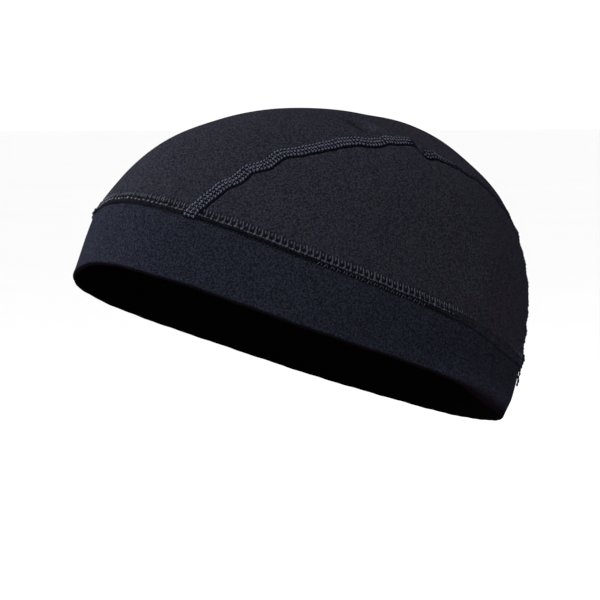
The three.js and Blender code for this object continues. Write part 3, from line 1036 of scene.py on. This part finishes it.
def knit_height(look, wale, course):
    """Height of a fine knit face, from 0 to 1."""
    across, along = look.cloth_places()
    in_wale = look.math("FRACT", look.math("DIVIDE", across, wale))
    aside = look.math("ABSOLUTE", look.math("SUBTRACT", in_wale, 0.5))
    leaning = look.math("ADD", look.math("DIVIDE", along, course), aside)
    wave = look.math("SINE", look.math("MULTIPLY", leaning, 2 * math.pi))
    loops = look.math("MULTIPLY_ADD", wave, 0.5, 0.5)
    ribs = look.math("SUBTRACT", 1.0, look.math("MULTIPLY", aside, RIB_FALL))
    return look.math("MULTIPLY", loops, ribs)


def tinted(look, colour):
    """A colour with small uneven tints, some bluer and some redder."""
    noise = look.noise(TINT_NOISE, "Color")
    lowest = (1 - TINT_STRENGTH / 2,) * 3
    tints = look.vector_math("MULTIPLY_ADD", noise, (TINT_STRENGTH,) * 3, lowest)
    return look.vector_math("MULTIPLY", colour, tints)


def above_rim_shade(look):
    """Where the fold's painted shade gives way: 0 at the band's fold and 1 from a little above it."""
    at_nape = look.share_between(look.lengthwise(), *NAPE_FOOT, "SMOOTHSTEP")
    reach = look.math("MULTIPLY_ADD", at_nape, NAPE_SHADE_RISE, RIM_SHADE_FADE[1])
    height = look.cloth_places()[1]
    return look.share_between(height, RIM_SHADE_FADE[0], reach, "SMOOTHSTEP")


def squared_distance(look, offset, direction, unit_length):
    """Square of an offset's reach in a direction, counted in a length in millimetres."""
    scaled = tuple(tilted(direction) / (MILLIMETRE * unit_length))
    reach = look.operate("ShaderNodeVectorMath", "DOT_PRODUCT", (offset, scaled))["Value"]
    return look.math("MULTIPLY", reach, reach)


def with_crease_shading(look, colour):
    """A colour with the painted shade and light of the crease, in soft dark and light patches."""
    for turn, rise, heading, half_length, half_width, share in SHADED_PATCHES:
        middle, along, across = dent_frame(turn, rise, heading)
        offset = look.vector_math("SUBTRACT", look.place, tuple(worn(middle)))
        lengthwise = squared_distance(look, offset, along, half_length)
        sideways = squared_distance(look, offset, across, half_width)
        squares = look.math("ADD", lengthwise, sideways)
        closeness = look.math("POWER", 1 / math.e, squares)
        gain = look.math("MULTIPLY_ADD", closeness, share - 1, 1.0)
        colour = look.vector_math("MULTIPLY", colour, gain)
    return colour


def shaded_along(look, colour, rows):
    """A colour with painted shade along the head: times the shares of a table of places along the head.
    """
    first, last = rows[0][0], rows[-1][0]
    ramp = look.nodes.new("ShaderNodeValToRGB")
    look.fill(ramp, [0], [look.share_between(look.lengthwise(), first, last, "LINEAR")])
    stops = ramp.color_ramp.elements
    for at, _ in rows[1:-1]:
        stops.new((at - first) / (last - first))
    for stop, (_, share) in zip(stops, rows):
        stop.color = (share, share, share, 1)
    return look.vector_math("MULTIPLY", colour, ramp.outputs["Color"])


def knitted(look, colours, knit_size):
    """Colour and relief of matt knitted cloth with a fine grain."""
    dark, light = colours
    knit = knit_height(look, *knit_size)
    grain = look.noise(GRAIN_NOISE)
    speckle = look.math("MULTIPLY_ADD", grain, *GRAIN_STRETCH)
    # Painted shade: the knit's hollows are darker, on top of the grain's speckle.
    shade = look.math("MULTIPLY_ADD", knit, KNIT_SHADE, speckle)
    uneven = look.math("MULTIPLY_ADD", look.noise(PATCH_NOISE), *PATCH_STRETCH)
    redness = look.math("MULTIPLY_ADD", look.lengthwise(), REDDER_BACKWARDS, uneven)
    redder = tuple(part * gain for part, gain in zip(light, REDDER))
    tone = look.mix(look.clamped(redness), light, redder)
    colour = look.mix(look.clamped(shade), dark, tone)
    relief = look.math("MULTIPLY_ADD", grain, GRAIN_RELIEF, knit)
    return tinted(look, colour), relief


def make_crown_cloth():
    look = Look("crown_cloth")
    colour, relief = knitted(look, CROWN_COLOURS, CROWN_KNIT)
    return look.finished(with_crease_shading(look, colour), CLOTH_SURFACE, relief)


def make_band_cloth():
    """The band's cloth, with painted shade at its fold where it turns under."""
    look = Look("band_cloth")
    colour, relief = knitted(look, BAND_COLOURS, BAND_KNIT)
    colour = look.mix(above_rim_shade(look), RIM_SHADE_COLOUR, colour)
    return look.finished(colour, CLOTH_SURFACE, relief)


def make_plain_cloth(name, colours, shade_rows=None):
    """Cloth painted dark as shade, inside the cap and between stitches."""
    look = Look(name)
    grain = look.noise(PLAIN_NOISE)
    factor = look.clamped(look.math("MULTIPLY_ADD", grain, *PLAIN_STRETCH))
    colour = look.mix(factor, *colours)
    if shade_rows:
        colour = shaded_along(look, colour, shade_rows)
    return look.finished(colour, PLAIN_SURFACE, grain)


def make_thread(name, colours, shade_rows):
    """Dull polyester sewing thread, with painted shade that changes along the head."""
    look = Look(name)
    fibres = look.noise(FIBRE_NOISE)
    spread = look.math("MULTIPLY", look.noise(SPREAD_NOISE), SPREAD_SHARE)
    factor = look.math("MULTIPLY_ADD", fibres, FIBRE_SHARE, spread)
    colour = shaded_along(look, look.mix(factor, *colours), shade_rows)
    return look.finished(colour, THREAD_SURFACE, fibres)


def make_pale_floor():
    look = Look("pale_floor")
    return look.finished(look.mix(look.noise(FLOOR_NOISE), *FLOOR_COLOURS), FLOOR_SURFACE)


# Stage, lights and camera

FLOOR_DROP = 0.32
FLOOR_REACH = 60.0
FLOOR_CORNERS = [(-1, -1), (1, -1), (1, 1), (-1, 1)]
WORLD_STRENGTH = 1.05
# Each light's name, its place in metres and its power in watts.
LIGHTS = [
    ("left_light", (-1.715, -0.99, 0.318), 200),
    ("front_light", (0.837, -1.795, 0.318), 34),
    ("upper_light", (0.366, -1.366, 1.454), 14),
    ("top_light", (0, -0.07, 2.039), 90),
]
LIGHT_WIDTH = 1.0
LIT_POINT = Vector((0, 0, 0.04))
CAMERA_TURN = 60.0
CAMERA_RISE = 2.06
CAMERA_DISTANCE = 1.5
# The point that the camera's place is set from, and the one that it looks at, in metres.
CAMERA_CENTRE = Vector((0, -0.0043, 0.055))
CAMERA_AIM = Vector((-0.00443, -0.01395, 0.02728))
# Half the frame's width and the camera's focal length, in the frame's pixels.
HALF_FRAME = 300
FOCAL_LENGTH = 3539.15


def make_floor():
    level = cad_box[0].z - FLOOR_DROP
    corners = [(x * FLOOR_REACH, y * FLOOR_REACH, level) for x, y in FLOOR_CORNERS]
    mesh = bpy.data.meshes.new("floor")
    mesh.from_pydata(corners, [], [(0, 1, 2, 3)])
    mesh.materials.append(make_pale_floor())
    add_object("floor", mesh)


def make_world():
    world = bpy.data.worlds.new("studio")
    world.use_nodes = True
    background = world.node_tree.nodes["Background"]
    background.inputs["Color"].default_value = (1, 1, 1, 1)
    background.inputs["Strength"].default_value = WORLD_STRENGTH
    bpy.context.scene.world = world


def put_facing(item, place, target):
    """Puts a light or a camera at a place, turned to a target."""
    item.location = place
    item.rotation_mode = "QUATERNION"
    item.rotation_quaternion = (target - place).to_track_quat("-Z", "Y")


def make_light(name, place, power):
    light = bpy.data.lights.new(name, "AREA")
    light.shape = "DISK"
    light.size = LIGHT_WIDTH
    light.energy = power
    put_facing(add_object(name, light), Vector(place), LIT_POINT)


def make_camera():
    turn, rise = math.radians(CAMERA_TURN), math.radians(CAMERA_RISE)
    level = math.cos(rise)
    back = Vector((math.sin(turn) * level, -math.cos(turn) * level, math.sin(rise)))
    camera = add_object("camera", bpy.data.cameras.new("camera"))
    camera.data.angle = 2 * math.atan(HALF_FRAME / FOCAL_LENGTH)
    put_facing(camera, CAMERA_CENTRE + back * CAMERA_DISTANCE, CAMERA_AIM)
    bpy.context.scene.camera = camera


bpy.context.scene.view_settings.view_transform = "Standard"
make_camera()
make_floor()
make_world()
for light_name, light_place, light_power in LIGHTS:
    make_light(light_name, light_place, light_power)

shaded_lining = make_plain_cloth("shaded_lining", LINING_SHADE_COLOURS)
band_materials = [make_band_cloth(), shaded_lining]
crown_materials = [make_crown_cloth(), shaded_lining]
band_seam_materials = [
    make_plain_cloth("band_ground_shaded", BAND_GROUND_COLOURS, BAND_GROUND_SHADE_ROWS),
    make_thread("band_thread_shaded", BAND_THREAD_COLOURS, BAND_THREAD_SHADE_ROWS),
]
crown_seam_materials = [
    make_plain_cloth("crown_ground_shaded", CROWN_GROUND_COLOURS, CROWN_GROUND_SHADE_ROWS),
    make_thread("crown_thread_shaded", CROWN_THREAD_COLOURS, CROWN_THREAD_SHADE_ROWS),
]

made = {
    "band": (make_band(band_materials), "band_cloth"),
    "crown_centre": (make_crown_centre(crown_materials), "crown_cloth"),
    "crown_left": (make_side_panel(LEFT, "crown_left_cloth", crown_materials), "crown_cloth"),
    "crown_right": (make_side_panel(RIGHT, "crown_right_cloth", crown_materials), "crown_cloth"),
    "seam_band": (make_band_seam(band_seam_materials), "seam_thread"),
    "seam_left": (make_crown_seam(LEFT, "seam_left_stitches", crown_seam_materials), "seam_thread"),
    "seam_right": (make_crown_seam(RIGHT, "seam_right_stitches", crown_seam_materials), "seam_thread"),
}
for node, (piece, slot) in made.items():
    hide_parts(node)
    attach(piece, "root")
